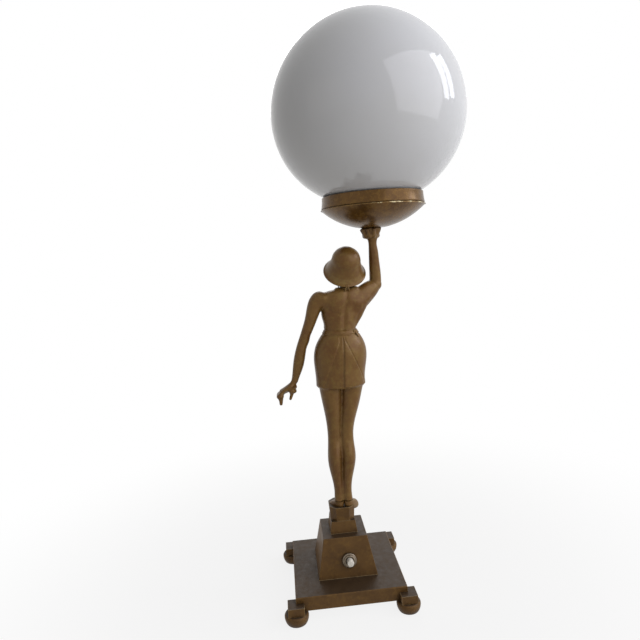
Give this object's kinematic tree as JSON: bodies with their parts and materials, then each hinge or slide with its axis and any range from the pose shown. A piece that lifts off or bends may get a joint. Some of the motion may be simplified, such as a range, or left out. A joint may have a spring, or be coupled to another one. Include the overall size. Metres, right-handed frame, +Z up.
{
  "type": "figural table lamp",
  "caption": "Table lamp: a cast lady in a bell hat on a stepped square base holds up a shallow dish with a collar and an opal glass globe.",
  "frame": {"origin": "on the table under the centre of the square base, at the level of the feet's treads", "axes": "+Z up; +Y the way the lady faces; -Y the face with the switch; +X the side of the raised arm and the globe"},
  "size_m": [0.2325, 0.2064, 0.6304],
  "materials": {
    "patinated_bronze": "aged brown patina with a soft sheen",
    "aged_brass": "tarnished",
    "raw_brass": "satin",
    "bright_metal": "satin",
    "plain_steel": "zinc plated",
    "cast_iron": "raw casting",
    "black_plastic": "moulded",
    "white_plastic": "gloss",
    "white_ceramic": "glazed",
    "black_glass": "gloss",
    "bulb_glass": "clear",
    "opal_glass": "opal white, polished"
  },
  "bodies": {
    "lamp": {"base_plate": "patinated_bronze", "foot_front_left": "patinated_bronze", "foot_front_right": "patinated_bronze", "foot_rear_left": "patinated_bronze", "foot_rear_right": "patinated_bronze", "lower_tier": "patinated_bronze", "upper_tier": "patinated_bronze", "pedestal": "patinated_bronze", "figure_shoes": "patinated_bronze", "figure_legs": "patinated_bronze", "figure_skirt": "patinated_bronze", "figure_torso": "patinated_bronze", "figure_head": "patinated_bronze", "figure_hat": "patinated_bronze", "lowered_arm": "patinated_bronze", "raised_arm": "patinated_bronze", "gallery_dish": "patinated_bronze", "gallery_collar": "patinated_bronze", "switch_ring_nut": "aged_brass", "tie_pipe": "raw_brass", "gallery_nipple": "raw_brass", "gallery_spider": "raw_brass", "holder_cap": "raw_brass", "holder_shell": "raw_brass", "holder_thread": "raw_brass", "holder_contact": "raw_brass", "foot_screws": "plain_steel", "cover_screws": "plain_steel", "bottom_cover": "plain_steel", "tie_nut": "plain_steel", "tie_washer": "plain_steel", "gallery_washer": "plain_steel", "gallery_nut": "plain_steel", "switch_terminals": "raw_brass", "ballast_weight": "cast_iron", "cord_inlet_bush": "black_plastic", "switch_body": "black_plastic", "holder_core": "white_ceramic"},
    "button": {"switch_button": "white_plastic"},
    "globe": {"globe": "opal_glass"},
    "bulb": {"bulb_tip": "black_glass", "bulb_cap": "bright_metal", "bulb_glass": "bulb_glass"}
  },
  "joints": [
    {"name": "button_press", "type": "slide", "parent": "lamp", "child": "button", "axis": [0, 0.9814, -0.1917], "range_m": [0, 0.003], "stiffness_N_per_m": 300, "springref_m": -0.004},
    {"name": "globe_lift", "type": "slide", "parent": "lamp", "child": "globe", "axis": [0, 0, 1], "range_m": [0, 0.15]},
    {"name": "bulb_turn", "type": "hinge", "parent": "lamp", "child": "bulb", "pos_m": [0.0564, 0, 0.45], "axis": [0, 0, 1], "range_deg": [0, 1440]}
  ]
}
